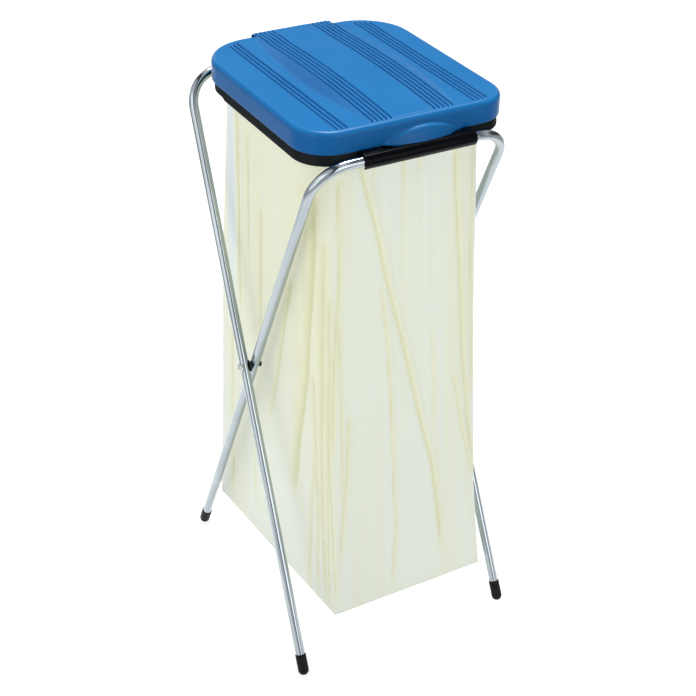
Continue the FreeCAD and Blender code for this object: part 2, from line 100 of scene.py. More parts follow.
# Ring, hoop and clip
RING_FRONT_R = 55 * MM
RING_REAR_R = 78 * MM
RING_WALL = 3 * MM
RING_STEP = 3 * MM  # the ring is this much lower in front of the step
RING_STEP_Y = (106 * MM, 110 * MM)
HOOP_INSET = 5.6 * MM
HOOP_WALL = 2.4 * MM
HOOP_FLANGE = 2.2 * MM
CLIP_BORE_R = 8.3 * MM
CLIP_OUTER_R = 11.3 * MM
CLIP_ARC = (31, 211)  # degrees, from the web round the bar to the lip
CLIP_TOP_DEG = 55.4  # where the sleeve leaves its round for the ring
CLIP_LIP = 6.5 * MM
CLIP_LIP_DEG = -59
CLIP_WEB_LOW = 948 * MM
CLIP_WEB_WALL = 3 * MM
SHOULDER_LENGTH = 36 * MM

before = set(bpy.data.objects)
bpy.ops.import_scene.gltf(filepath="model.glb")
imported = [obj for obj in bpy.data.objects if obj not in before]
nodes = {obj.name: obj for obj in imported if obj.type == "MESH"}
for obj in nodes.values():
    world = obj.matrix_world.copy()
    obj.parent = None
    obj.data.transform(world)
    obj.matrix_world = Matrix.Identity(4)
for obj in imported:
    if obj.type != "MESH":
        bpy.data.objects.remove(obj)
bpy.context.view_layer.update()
ring_low, ring_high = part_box("bag_ring")
hoop_low, hoop_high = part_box("bag_clamp_hoop")
RING_X = 0.5 * (ring_high[0] + ring_low[0])
RING_HALF_X = 0.5 * (ring_high[0] - ring_low[0])
LID_HALF_X = RING_HALF_X + SKIRT_REACH
LID_FRONT = ring_low[1] - SKIRT_FRONT
LID_REAR = ring_high[1] + SKIRT_REAR
HOOD_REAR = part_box("lid_shell")[1][1]
FRONT_BAR = (-0.200, 0.950)  # y and z of the bars' middles
REAR_BAR = (0.216, 0.950)
BAR_R = 8 * MM


# ---------------------------------------------------------------- mesh helpers

def smoothstep(low, high, value):
    """0 below low, 1 above high, smooth between."""
    t = min(1.0, max(0.0, (value - low) / (high - low)))
    return t * t * (3 - 2 * t)


def mesh_object(name, points, faces, material, smooth=True):
    """A mesh object from points and faces, with its normals pointing outwards."""
    mesh = bpy.data.meshes.new(name)
    mesh.from_pydata([tuple(p) for p in points], [], faces)
    work = bmesh.new()
    work.from_mesh(mesh)
    bmesh.ops.remove_doubles(work, verts=work.verts, dist=1e-6)
    bmesh.ops.recalc_face_normals(work, faces=work.faces)
    work.to_mesh(mesh)
    work.free()
    obj = bpy.data.objects.new(name, mesh)
    bpy.context.scene.collection.objects.link(obj)
    mesh.materials.append(material)
    mesh.polygons.foreach_set("use_smooth", [smooth] * len(mesh.polygons))
    return obj


def soften(obj, width, segments=3, angle=35):
    """Rounds the sharp edges of a piece."""
    bevel = obj.modifiers.new("edges", "BEVEL")
    bevel.width = width
    bevel.segments = segments
    bevel.limit_method = "ANGLE"
    bevel.angle_limit = math.radians(angle)
    bevel.harden_normals = True
    return obj


def rounded_outline(x0, x1, y0, y1, front_r, rear_r, corner_steps=16, side_steps=24):
    """Points and outward normals round a rounded rectangle, from its front right corner."""
    corners = (
        (x1 - front_r, y0 + front_r, front_r, -90),
        (x1 - rear_r, y1 - rear_r, rear_r, 0),
        (x0 + rear_r, y1 - rear_r, rear_r, 90),
        (x0 + front_r, y0 + front_r, front_r, 180),
    )
    outline = []
    for k, (cx, cy, radius, start) in enumerate(corners):
        for i in range(corner_steps + 1):
            angle = math.radians(start + 90 * i / corner_steps)
            nx, ny = math.cos(angle), math.sin(angle)
            outline.append((cx + radius * nx, cy + radius * ny, nx, ny))
        last = outline[-1]
        nx, ny, next_r, next_start = corners[(k + 1) % 4]
        angle = math.radians(next_start)
        ahead = (nx + next_r * math.cos(angle), ny + next_r * math.sin(angle))
        for i in range(1, side_steps):
            t = i / side_steps
            x = last[0] + (ahead[0] - last[0]) * t
            y = last[1] + (ahead[1] - last[1]) * t
            outline.append((x, y, last[2], last[3]))
    return outline


def loft(total, count, closed=False):
    """Faces through total sections of count points each; closed joins the last to the first."""
    faces = []
    for i in range(total if closed else total - 1):
        near = i * count
        far = (i + 1) % total * count
        for k in range(count):
            after = (k + 1) % count
            faces.append((near + k, near + after, far + after, far + k))
    return faces


def bridge(upper, lower):
    """Faces between two closed loops of point numbers."""
    total = len(upper)
    ahead = [(i + 1) % total for i in range(total)]
    return [(upper[i], lower[i], lower[j], upper[j]) for i, j in enumerate(ahead)]


def capped_loft(name, sections, material):
    """A solid through sections of points, closed at both ends."""
    count = len(sections[0])
    total = len(sections)
    caps = [tuple(range(count)), tuple(range((total - 1) * count, total * count))]
    points = [point for section in sections for point in section]
    return mesh_object(name, points, caps + loft(total, count), material)


def sweep_plan(name, outline, profile, material):
    """A section swept round a plan outline, from (inset, z) pairs; z may be a function of y."""
    points = []
    for x, y, nx, ny in outline:
        for inset, z in profile:
            height = z(y) if callable(z) else z
            points.append((x - nx * inset, y - ny * inset, height))
    return mesh_object(name, points, loft(len(outline), len(profile), closed=True), material)


def extrude_x(name, section, x0, x1, material):
    """A closed (y, z) section extruded along X, with end faces."""
    return capped_loft(name, [[(x, y, z) for y, z in section] for x in (x0, x1)], material)


def arc(centre, radius, start_deg, end_deg, steps):
    """Points of a (y, z) arc; 0 degrees points to the rear and 90 up."""
    points = []
    for i in range(steps + 1):
        angle = math.radians(start_deg + (end_deg - start_deg) * i / steps)
        points.append((centre[0] + radius * math.cos(angle), centre[1] + radius * math.sin(angle)))
    return points


# ---------------------------------------------------------------- materials

def fill_ramp(elements, stops):
    """Gives a colour ramp its stops, each a position and a colour."""
    while len(elements) < len(stops):
        elements.new(0.5)
    for element, (position, colour) in zip(elements, stops):
        element.position = position
        element.color = (*colour, 1.0)


class Shader:
    """A small helper that builds one procedural material."""

    def __init__(self, name):
        self.material = bpy.data.materials.new(name)
        self.material.use_nodes = True
        self.tree = self.material.node_tree
        self.base = self.tree.nodes["Principled BSDF"]

    def node(self, kind, **values):
        made = self.tree.nodes.new(kind)
        for key, value in values.items():
            setattr(made, key, value)
        return made

    def link(self, source, target):
        self.tree.links.new(source, target)

    def coordinates(self, scale=(1, 1, 1)):
        place = self.node("ShaderNodeTexCoord")
        mapping = self.node("ShaderNodeMapping")
        mapping.inputs["Scale"].default_value = scale
        self.link(place.outputs["Object"], mapping.inputs["Vector"])
        return mapping.outputs["Vector"]

    def noise(self, scale, detail=3.0, roughness=0.5, stretch=(1, 1, 1)):
        made = self.node("ShaderNodeTexNoise")
        made.inputs["Scale"].default_value = scale
        made.inputs["Detail"].default_value = detail
        made.inputs["Roughness"].default_value = roughness
        self.link(self.coordinates(stretch), made.inputs["Vector"])
        return made.outputs["Fac"]

    def ramp(self, source, stops):
        made = self.node("ShaderNodeValToRGB")
        fill_ramp(made.color_ramp.elements, stops)
        self.link(source, made.inputs["Fac"])
        return made.outputs["Color"]

    def spread(self, source, low, high):
        """Maps a 0 to 1 value onto low to high."""
        made = self.node("ShaderNodeMapRange")
        made.inputs["To Min"].default_value = low
        made.inputs["To Max"].default_value = high
        self.link(source, made.inputs["Value"])
        return made.outputs["Result"]

    def bump(self, source, distance, strength=1.0, previous=None):
        made = self.node("ShaderNodeBump")
        made.inputs["Distance"].default_value = distance
        made.inputs["Strength"].default_value = strength
        self.link(source, made.inputs["Height"])
        if previous is not None:
            self.link(previous, made.inputs["Normal"])
        return made.outputs["Normal"]

    def plug(self, **sources):
        """Links outputs to the shader's sockets."""
        for key, source in sources.items():
            self.link(source, self.base.inputs[key.replace("_", " ").title()])

    def put(self, **values):
        """Sets plain values on the shader's sockets."""
        for key, value in values.items():
            self.base.inputs[key.replace("_", " ")].default_value = value


def mark_points(piece, name, values):
    """Stores one value for each of a piece's points, for its material to use."""
    mark = piece.data.attributes.new(name, "FLOAT", "POINT")
    mark.data.foreach_set("value", values)


def moulded_plastic(name, dark, light, roughness, grain, grain_depth, shine=0.3):
    """Injection-moulded plastic: colour clouding, fine grain, uneven gloss, painted shade in marked
    grooves and on its sides.
    """
    s = Shader(name)
    # painted shade: the "groove" mark darkens the colour in the lid's grooves and on its band's left
    # slope
    groove = s.node("ShaderNodeAttribute", attribute_name="groove")
    shade = s.node("ShaderNodeMixRGB", blend_type="MULTIPLY")
    shade.inputs["Color2"].default_value = (0.4, 0.38, 0.55, 1.0)
    s.link(groove.outputs["Fac"], shade.inputs["Fac"])
    # painted shade: faces turned sideways are painted darker and bluer than faces turned up
    upward = s.node("ShaderNodeSeparateXYZ")
    s.link(s.node("ShaderNodeTexCoord").outputs["Normal"], upward.inputs["Vector"])
    sides = s.node("ShaderNodeMixRGB", blend_type="MULTIPLY")
    sides.inputs["Fac"].default_value = 1.0
    s.link(s.ramp(s.noise(7.0, 4.0), [(0.3, dark), (0.7, light)]), sides.inputs["Color1"])
    side_shade = s.ramp(upward.outputs["Z"], [(0.0, (0.4, 0.82, 0.95)), (1.0, (1.0, 1.0, 1.0))])
    s.link(side_shade, sides.inputs["Color2"])
    s.link(sides.outputs["Color"], shade.inputs["Color1"])
    s.plug(Base_Color=shade.outputs["Color"])
    s.plug(Roughness=s.spread(s.noise(14.0, 3.0), roughness - 0.02, roughness + 0.04))
    s.plug(Normal=s.bump(s.noise(grain, 2.0), grain_depth, 0.12))
    s.put(Specular_IOR_Level=shine)
    return s.material


def chrome_tube():
    """Bright chrome plating with faint drawing lines along the tube and dull, cloudy patches."""
    s = Shader("chrome_plating")
    s.put(Metallic=1.0)
    clouds = [(0.25, (0.36, 0.41, 0.44)), (0.75, (0.48, 0.54, 0.57))]
    s.plug(Base_Color=s.ramp(s.noise(9.0, 5.0), clouds))
    s.plug(Roughness=s.spread(s.noise(45.0, 6.0, 0.6), 0.08, 0.18))
    s.plug(Normal=s.bump(s.noise(260.0, 3.0, 0.5, (1, 1, 0.06)), 0.00008, 0.3))
    return s.material


def zinc_steel():
    """Zinc-plated steel of the rivets, washers and screws."""
    s = Shader("zinc_steel")
    s.put(Metallic=1.0)
    flakes = [(0.3, (0.52, 0.53, 0.54)), (0.7, (0.70, 0.70, 0.69))]
    s.plug(Base_Color=s.ramp(s.noise(300.0, 4.0), flakes))
    s.plug(Roughness=s.spread(s.noise(500.0, 4.0), 0.25, 0.42))
    s.plug(Normal=s.bump(s.noise(900.0, 3.0), 0.00005, 0.4))
    return s.material


def foot_rubber():
    """Black moulded caps with a worn, slightly dusty surface."""
    s = Shader("foot_rubber")
    dust = [(0.35, (0.003, 0.003, 0.003)), (0.75, (0.009, 0.009, 0.009))]
    s.plug(Base_Color=s.ramp(s.noise(120.0, 5.0), dust))
    s.plug(Roughness=s.spread(s.noise(90.0, 4.0), 0.38, 0.55))
    s.plug(Normal=s.bump(s.noise(1100.0, 2.0), 0.00006, 0.5))
    s.put(Specular_IOR_Level=0.12)
    return s.material


def sack_film():
    """Thin cream film: milky with a painted glow, yellower where folded, painted shade in creases,
    bluer where single.
    """
    s = Shader("sack_film")
    fold_shade = s.node("ShaderNodeAttribute", attribute_name="fold_shade")
    place = s.node("ShaderNodeMapRange")
    place.inputs["From Min"].default_value = -0.3
    s.link(fold_shade.outputs["Fac"], place.inputs["Value"])
    # the yellower, darker colours stand for doubled film and are also painted shade along creases,
    # in pleat hollows and on left-facing faces
    single = (0.78, 0.86, 0.90)
    plain = (0.86, 0.91, 0.77)
    doubled_and_shaded = (0.86, 0.86, 0.60)
    crease_shade_colour = (0.66, 0.67, 0.36)
    stops = [(0.0, single), (0.23, plain), (0.45, doubled_and_shaded), (1.0, crease_shade_colour)]
    colour = s.ramp(place.outputs["Result"], stops)
    s.plug(Base_Color=colour, Emission_Color=colour)
    # painted light: the film glows, more strongly the higher it lies
    height = s.node("ShaderNodeSeparateXYZ")
    s.link(s.node("ShaderNodeTexCoord").outputs["Object"], height.inputs["Vector"])
    glow = s.node("ShaderNodeMapRange")
    glow.inputs["To Max"].default_value = 0.19
    s.link(height.outputs["Z"], glow.inputs["Value"])
    s.plug(Emission_Strength=glow.outputs["Result"])
    s.plug(Roughness=s.spread(s.noise(22.0, 5.0), 0.34, 0.5))
    fine = s.bump(s.noise(60.0, 5.0, 0.6, (1, 1, 0.08)), 0.0016, 0.3)
    s.plug(Normal=s.bump(s.noise(420.0, 2.0), 0.00015, 0.25, fine))
    s.put(Subsurface_Weight=0.35, Subsurface_Radius=(0.03, 0.028, 0.018), Subsurface_Scale=0.4)
    s.put(Specular_IOR_Level=0.3)
    return s.material


BLUE = moulded_plastic(
    "lid_blue", (0.006, 0.130, 0.350), (0.009, 0.145, 0.375), 0.28, 900.0, 0.00006, 0.16)
RING_BLACK = moulded_plastic(
    "ring_charcoal", (0.007, 0.008, 0.009), (0.012, 0.013, 0.014), 0.40, 700.0, 0.00008, 0.10)
CLIP_BLACK = moulded_plastic(
    "clip_black", (0.0015, 0.0015, 0.002), (0.003, 0.003, 0.004), 0.14, 900.0, 0.00003, 0.06)
NYLON_BLACK = moulded_plastic(
    "spacer_black", (0.012, 0.012, 0.012), (0.020, 0.020, 0.020), 0.45, 900.0, 0.00004)
CHROME = chrome_tube()
ZINC = zinc_steel()
RUBBER = foot_rubber()
FILM = sack_film()


# ---------------------------------------------------------------- lid

def groove_centres():
    """Each groove's x and whether it belongs to an inner group, which runs over the rear hood."""
    centres = []
    for side in (-1, 1):
        outer_grooves = 3 if side < 0 else 4
        groups = ((OUTER_GROUP_X, outer_grooves, False), (INNER_GROUP_X, INNER_GROOVES, True))
        for group_x, count, inner in groups:
            for k in range(count):
                offset = (k - (count - 1) / 2) * GROOVE_PITCH
                centres.append((PATTERN_X + side * group_x + offset, inner))
    return centres


GROOVES = groove_centres()


def groove_depth(x, inner_only=False):
    """How deep the grooves are at x, away from their ends, and whether they are inner ones."""
    for centre, inner in GROOVES:
        away = abs(x - centre) / GROOVE_WIDTH
        if away < 1 and (inner or not inner_only):
            return GROOVE_DEPTH * (1 - smoothstep(GROOVE_FLOOR, GROOVE_MOUTH, away)), inner
    return 0.0, False


def crown_bow(y):
    """0 at the lid's front and rear edges and 1 midway, as the crowned band rises and widens."""
    t = min(1.0, max(0.0, (y - LID_FRONT) / (LID_REAR - LID_FRONT)))
    return math.sin(math.pi * t) ** 0.9


def relief(x, y, front, rear):
    """Height of the lid's pattern at x, y, where the top's flat runs from front to rear."""
    bow = crown_bow(y)
    rise = BAND_CROWN * bow + BAND_REAR_STEP * smoothstep(*BAND_STEP_Y, y)
    width = BAND_LEAST_SLOPE + BAND_SLOPE * bow
    height = rise * (1 - smoothstep(BAND_HALF_X, BAND_HALF_X + width, abs(x - PATTERN_X)))
    depth, inner = groove_depth(x)
    start = front + GROOVE_FRONT_END
    depth *= smoothstep(start - GROOVE_END_FADE, start + GROOVE_END_FADE, y)
    if not inner:
        end = rear - GROOVE_REAR_END
        depth *= 1 - smoothstep(end - GROOVE_END_FADE, end + GROOVE_END_FADE, y)
    edge = smoothstep(0.0, PATTERN_FADE, y - front) * smoothstep(0.0, PATTERN_FADE, rear - y)
    return height * edge - depth


def top_shade(x, y):
    """How much painted shade the lid's top gets at x, y: in its grooves and on the band's left
    slope.
    """
    front, rear, _, _ = top_extent(x)
    depth, inner = groove_depth(x)
    between_ends = y > front + GROOVE_FRONT_END and (inner or y < rear - GROOVE_REAR_END)
    if depth > 0.6 * GROOVE_DEPTH and between_ends:
        return 1.0
    bow = crown_bow(y)
    slope = BAND_SLOPE * bow
    beyond = PATTERN_X - BAND_HALF_X - x
    if 0 < beyond < slope:
        return 0.5 * bow * (1 - smoothstep(0.6, 1.0, beyond / slope))
    return 0.0


def lid_columns():
    """The x of each column of the lid's top, closer together at the corners and grooves."""
    wanted = set()
    for radius in (LID_FRONT_R, LID_REAR_R):
        corner_x = LID_HALF_X - radius
        reach = radius - LID_EDGE_R
        for i in range(1, 15):
            offset = corner_x + reach * math.sin(math.radians(90 * i / 14))
            wanted.update((RING_X - offset, RING_X + offset))
    steps = 46
    half = LID_HALF_X - LID_REAR_R
    wanted.update(RING_X + half * (2 * i / steps - 1) for i in range(steps + 1))
    for centre, _ in GROOVES:
        wanted.update(centre + share * GROOVE_WIDTH for share in GROOVE_STATIONS)
    for side in (-1, 1):
        for width in (0.0, 0.1, 0.25, 0.5, 0.75, 1.0):
            away = BAND_HALF_X + BAND_LEAST_SLOPE + BAND_SLOPE * width
            wanted.add(PATTERN_X + side * away)
    kept = []
    for x in sorted(wanted):
        if not kept or x - kept[-1] > LEAST_COLUMN_GAP:
            kept.append(x)
    kept[0] = RING_X - LID_HALF_X + LID_EDGE_R
    kept[-1] = RING_X + LID_HALF_X - LID_EDGE_R
    return kept


def corner_reach(x, radius):
    """How far a corner's flat reaches past the corner's centre at x, and its normal there."""
    over = max(0.0, abs(x - RING_X) - (LID_HALF_X - radius))
    top_r = radius - LID_EDGE_R
    along = math.sqrt(max(0.0, top_r ** 2 - over ** 2))
    return along, math.copysign(over / top_r, x - RING_X), along / top_r


def top_extent(x):
    """Front and rear y of the lid's flat top at x, with the outline's normals there."""
    front_reach, front_nx, front_ny = corner_reach(x, LID_FRONT_R)
    rear_reach, rear_nx, rear_ny = corner_reach(x, LID_REAR_R)
    front = LID_FRONT + LID_FRONT_R - front_reach
    rear = LID_REAR - LID_REAR_R + rear_reach
    return front, rear, (front_nx, -front_ny), (rear_nx, rear_ny)


def lid_rows():
    """Shares of the lid's depth, closer together where grooves end."""
    depth = LID_REAR - LID_FRONT
    fine = [i * LID_ROW_STEP / depth for i in range(13)]
    middle = [fine[-1] + (1 - 2 * fine[-1]) * i / 36 for i in range(1, 36)]
    return fine + middle + [1 - f for f in reversed(fine)]


def grip_bulge(x, z):
    """How far the grip stands out of the front skirt, and how far the skirt's edge drops there."""
    u = (x - GRIP_X) / GRIP_HALF_X
    if abs(u) >= 1:
        return 0.0, 0.0
    bow = 1 - u * u
    edge = LID_LOW + GRIP_RISE * bow ** 0.8
    shelf = smoothstep(0.0, GRIP_SHELF, edge - z)
    lower = smoothstep(0.0, GRIP_RISE, edge - z)
    reach = GRIP_REACH * bow ** 0.8 * (0.55 * shelf + 0.45 * lower)
    drop = GRIP_DROP * bow * smoothstep(LID_LOW + GRIP_DROP_RISE, LID_LOW, z)
    return reach, drop


def lid_body():
    """The lid's shell: patterned top, rounded edge, skirt with the grip, and its inside."""
    columns = lid_columns()
    rows = lid_rows()
    width = len(rows)
    points = []
    for x in columns:
        front, rear, _, _ = top_extent(x)
        for t in rows:
            y = front + (rear - front) * t
            points.append((x, y, LID_TOP + relief(x, y, front, rear)))
    faces = []
    for i in range(len(columns) - 1):
        for k in range(width - 1):
            a = i * width + k
            faces.append((a, a + width, a + width + 1, a + 1))
    last = len(columns) - 1
    border = [(i * width, *top_extent(x)[2]) for i, x in enumerate(columns)]
    border += [(last * width + k, 1.0, 0.0) for k in range(1, width - 1)]
    border += [(i * width + width - 1, *top_extent(columns[i])[3]) for i in range(last, -1, -1)]
    border += [(k, -1.0, 0.0) for k in range(width - 2, 0, -1)]
    rings = [[entry[0] for entry in border]]
    for outward, z, inside in skirt_stations():
        ring = []
        for index, nx, ny in border:
            x, y, top = points[index]
            reach, drop = (0.0, 0.0)
            if ny < -0.5 and not inside:
                reach, drop = grip_bulge(x, z)
            groove = (top - LID_TOP) * smoothstep(LID_TOP - LID_EDGE_R, LID_TOP, z)
            ring.append(len(points))
            points.append((x + nx * outward, y + ny * outward - reach, z + groove - drop))
        rings.append(ring)
    for upper, lower in zip(rings, rings[1:]):
        faces += bridge(upper, lower)
    faces.append(tuple(rings[-1]))
    lid = mesh_object("lid", points, faces, BLUE)
    flat = len(columns) * width
    # painted shade for the lid's grooves and the band's left slope
    painted_shade_marks = [top_shade(x, y) for x, y, _ in points[:flat]]
    mark_points(lid, "groove", painted_shade_marks + [0.0] * (len(points) - flat))
    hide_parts("lid_shell")
    return lid


def skirt_stations():
    """(outward, z, inside) of each loop of the skirt, down its outside and up its inside."""
    stations = []
    for k in range(1, 8):
        angle = math.radians(90 * k / 7)
        drop = LID_EDGE_R * (1 - math.cos(angle))
        stations.append((LID_EDGE_R * math.sin(angle), LID_TOP - drop, False))
    start = LID_TOP - LID_EDGE_R
    count = 18
    for k in range(1, count + 1):
        z = start + (LID_LOW + 0.8 * MM - start) * k / count
        stations.append((LID_EDGE_R, z, False))
    stations.append((LID_EDGE_R - 0.3 * MM, LID_LOW + 0.2 * MM, False))
    stations.append((LID_EDGE_R - 0.8 * MM, LID_LOW, False))
    inner = LID_EDGE_R - LID_WALL
    stations.append((inner + 0.5 * MM, LID_LOW, True))
    stations.append((inner, LID_LOW + 0.5 * MM, True))
    for k in range(5):
        angle = math.radians(90 * k / 4)
        out = inner * math.cos(angle)
        stations.append((out, start + inner * math.sin(angle), True))
    return stations


def lid_underside():
    """Stiffening ribs and rest pads below the lid's top."""
    boxes = []
    pad_low = hoop_high[2] + PAD_GAP
    left = RING_X - LID_HALF_X
    right = RING_X + LID_HALF_X
    rib = RIB_WIDTH / 2
    for x in (RING_X - RIB_X, RING_X + RIB_X):
        boxes.append((x - rib, x + rib, LID_FRONT + RIB_MARGIN, LID_REAR - RIB_MARGIN, RIB_LOW))
    for y in RIB_ROWS:
        boxes.append((left + RIB_MARGIN, right - RIB_MARGIN, y - rib, y + rib, RIB_LOW))
    pad = PAD_WIDTH / 2
    for y in PAD_ROWS:
        boxes.append((left + PAD_NEAR, left + PAD_FAR, y - pad, y + pad, pad_low))
        boxes.append((right - PAD_FAR, right - PAD_NEAR, y - pad, y + pad, pad_low))
    points = []
    faces = []
    for x0, x1, y0, y1, low in boxes:
        base = len(points)
        plan = ((x0, y0), (x1, y0), (x1, y1), (x0, y1))
        points += [(x, y, z) for z in (low, RIB_HIGH) for x, y in plan]
        around = ((0, 1, 5, 4), (1, 2, 6, 5), (2, 3, 7, 6), (3, 0, 4, 7))
        for side in ((0, 1, 2, 3), (4, 5, 6, 7)) + around:
            faces.append(tuple(base + k for k in side))
    ribs = mesh_object("lid_ribs", points, faces, BLUE)
    return soften(ribs, 0.4 * MM, 2)


def lid_hood():
    """The band's rear end: a rounded, grooved hood over the rear bar."""
    top = LID_TOP + BAND_REAR_STEP + 0.1 * MM
    corner = (HOOD_REAR - HOOD_EDGE_R, top - HOOD_EDGE_R)
    outer = [(HOOD_FRONT_Y + (corner[0] - HOOD_FRONT_Y) * i / 6, top) for i in range(6)]
    outer += arc(corner, HOOD_EDGE_R, 90, 0, 10)
    low = REAR_BAR[1]
    outer += [(HOOD_REAR, corner[1] + (low - corner[1]) * i / 6) for i in range(1, 7)]
    wall = LID_WALL
    inner = [(HOOD_REAR - wall, low)]
    inner += arc(corner, HOOD_EDGE_R - wall, 0, 90, 8)
    inner += [(HOOD_FRONT_Y, top - wall)]
    wanted = {PATTERN_X + BAND_HALF_X * k / 12 for k in range(-12, 13)}
    for centre, inner_group in GROOVES:
        if inner_group:
            wanted.update(centre + share * GROOVE_WIDTH for share in GROOVE_STATIONS)
    sections = []
    for x in sorted(wanted):
        if abs(x - PATTERN_X) > BAND_HALF_X:
            continue
        section = []
        depth, _ = groove_depth(x, True)
        side = (BAND_HALF_X - abs(x - PATTERN_X)) / HOOD_SIDE_WIDTH
        depth += HOOD_SIDE_DROP * (1 - min(1.0, side)) ** 2
        for k, (y, z) in enumerate(outer):
            angle = math.radians(90 - 90 * smoothstep(5, 16, k))
            section.append((x, y - depth * math.cos(angle), z - depth * math.sin(angle)))
        sections.append(section + [(x, y, z) for y, z in inner])
    return capped_loft("lid_hood", sections, BLUE)


def lid_hook():
    """The lid's hook round the rear bar, with its web up to the lid's top."""
    inner = BAR_R + HOOK_GAP
    outer = inner + HOOK_WALL
    top = LID_TOP - 1.5 * MM
    section = arc(REAR_BAR, outer, -20, 80, 16)
    section += [(REAR_BAR[0] + HOOK_WEB_HALF, top), (REAR_BAR[0] - HOOK_WEB_HALF, top)]
    section += arc(REAR_BAR, outer, 100, 200, 16)
    section += arc(REAR_BAR, inner, 200, -20, 30)
    hook = extrude_x("lid_hook", section, PATTERN_X - HOOK_HALF_X, PATTERN_X + HOOK_HALF_X, BLUE)
    return soften(hook, 0.6 * MM, 2)


# ---------------------------------------------------------------- ring, hoop and clip

def ring_lower_edge(y):
    """The ring's lower edge, a step higher at the rear."""
    return ring_low[2] + RING_STEP * smoothstep(*RING_STEP_Y, y)


def ring_outline():
    """The ring's outline in plan."""
    x0, y0, _ = ring_low
    x1, y1, _ = ring_high
    return rounded_outline(x0, x1, y0, y1, RING_FRONT_R, RING_REAR_R, 18, 40)


def bag_ring():
    """The black ring round the sack's mouth."""
    outline = ring_outline()
    high = ring_high[2]
    profile = [
        (0.0, high - 0.6 * MM),
        (0.0, lambda y: ring_lower_edge(y) + 4.4 * MM),
        (-0.5 * MM, lambda y: ring_lower_edge(y) + 3.9 * MM),
        (-0.5 * MM, lambda y: ring_lower_edge(y) + 0.6 * MM),
        (0.1 * MM, ring_lower_edge),
        (2.4 * MM, ring_lower_edge),
        (RING_WALL, lambda y: ring_lower_edge(y) + 0.6 * MM),
        (RING_WALL, high - 0.4 * MM),
        (2.6 * MM, high),
        (0.6 * MM, high),
    ]
    ring = sweep_plan("ring", outline, profile, RING_BLACK)
    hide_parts("bag_ring")
    return ring


def clamp_hoop():
    """The hoop that presses the sack's mouth against the ring."""
    outline = ring_outline()
    low = hoop_low[2]
    flange = hoop_high[2] - HOOP_FLANGE
    high = hoop_high[2]
    inset = HOOP_INSET
    wall = HOOP_WALL
    profile = [
        (0.0, flange + 0.5 * MM),
        (0.4 * MM, flange),
        (inset, flange),
        (inset, low + 0.4 * MM),
        (inset + 0.4 * MM, low),
        (inset + wall - 0.4 * MM, low),
        (inset + wall, low + 0.4 * MM),
        (inset + wall, high - 0.6 * MM),
        (inset + wall - 0.6 * MM, high),
        (0.6 * MM, high),
        (0.0, high - 0.6 * MM),
    ]
    hoop = sweep_plan("clamp_hoop", outline, profile, RING_BLACK)
    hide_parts("bag_clamp_hoop")
    return hoop


def front_clip():
    """The sleeve over the front bar: half shell, lip, web to the ring, and two shoulders."""
    clip_low, clip_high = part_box("front_clip")
    bar = FRONT_BAR
    inner = CLIP_BORE_R
    outer = CLIP_OUTER_R
    rear = ring_low[1]
    way = math.radians(CLIP_LIP_DEG)
    lip = (CLIP_LIP * math.cos(way), CLIP_LIP * math.sin(way))
    start, end = CLIP_ARC
    inner_end = arc(bar, inner, end, end, 1)[0]
    outer_end = arc(bar, outer - 0.8 * MM, end, end, 1)[0]
    web_low = bar[1] + inner * math.sin(math.radians(start)) + 1 * MM
    web_front = rear - CLIP_WEB_WALL
    section = [(rear, CLIP_WEB_LOW), (web_front, CLIP_WEB_LOW)]
    section += [(web_front, web_low), (bar[0] + inner, web_low)]
    section += arc(bar, inner, start, end, 24)
    section += [(y + lip[0], z + lip[1]) for y, z in (inner_end, outer_end)]
    section += arc(bar, outer, end, CLIP_TOP_DEG, 22)
    section += [(rear, web_low + 4 * MM)]
    sleeve = extrude_x("front_clip", section, clip_low[0], clip_high[0], CLIP_BLACK)
    soften(sleeve, 0.7 * MM, 3, 40)
    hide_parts("front_clip")
    pieces = [sleeve]
    shoulder_rear = LID_FRONT - 0.7 * MM
    top = clip_high[2]
    over_bar = bar[1] + inner
    block = [(shoulder_rear, web_low + 2 * MM), (shoulder_rear, top), (bar[0] - 1 * MM, top)]
    block += [(bar[0] - 5.5 * MM, top - 3.4 * MM)]
    block += [(bar[0] - 2 * MM, over_bar + 1 * MM), (bar[0] + 4 * MM, over_bar)]
    for name, x0 in (("left", clip_low[0]), ("right", clip_high[0] - SHOULDER_LENGTH)):
        ends = (x0 + 0.3 * MM, x0 + SHOULDER_LENGTH - 0.3 * MM)
        shoulder = extrude_x("clip_shoulder_" + name, block, *ends, CLIP_BLACK)
        pieces.append(soften(shoulder, 1.1 * MM, 3, 30))
    return pieces


# ---------------------------------------------------------------- sack

BAG_LOW, BAG_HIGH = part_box("bag")
# height, then the x and y of the sack's front left, front right, rear right and rear left corners,
# then the front and rear corner radius
SACK_SECTIONS = (
    (0.080, (-0.128, -0.205), (0.177, -0.206), (0.172, 0.212), (-0.158, 0.219), 0.004, 0.008),
    (0.264, (-0.137, -0.196), (0.166, -0.198), (0.166, 0.206), (-0.157, 0.212), 0.022, 0.022),
    (0.630, (-0.148, -0.178), (0.156, -0.180), (0.156, 0.194), (-0.155, 0.200), 0.034, 0.038),
    (0.900, (-0.151, -0.167), (0.155, -0.167), (0.155, 0.188), (-0.152, 0.190), 0.046, 0.060),
    (0.940, (-0.153, -0.170), (0.160, -0.170), (0.160, 0.190), (-0.153, 0.192), 0.050, 0.070),
    (0.957, (-0.1640, -0.1800), (0.1760, -0.1800),
     (0.1760, 0.1990), (-0.1640, 0.1990), 0.052, 0.075),
    (0.964, (-0.1640, -0.1800), (0.1760, -0.1800),
     (0.1760, 0.1990), (-0.1640, 0.1990), 0.052, 0.075),
)
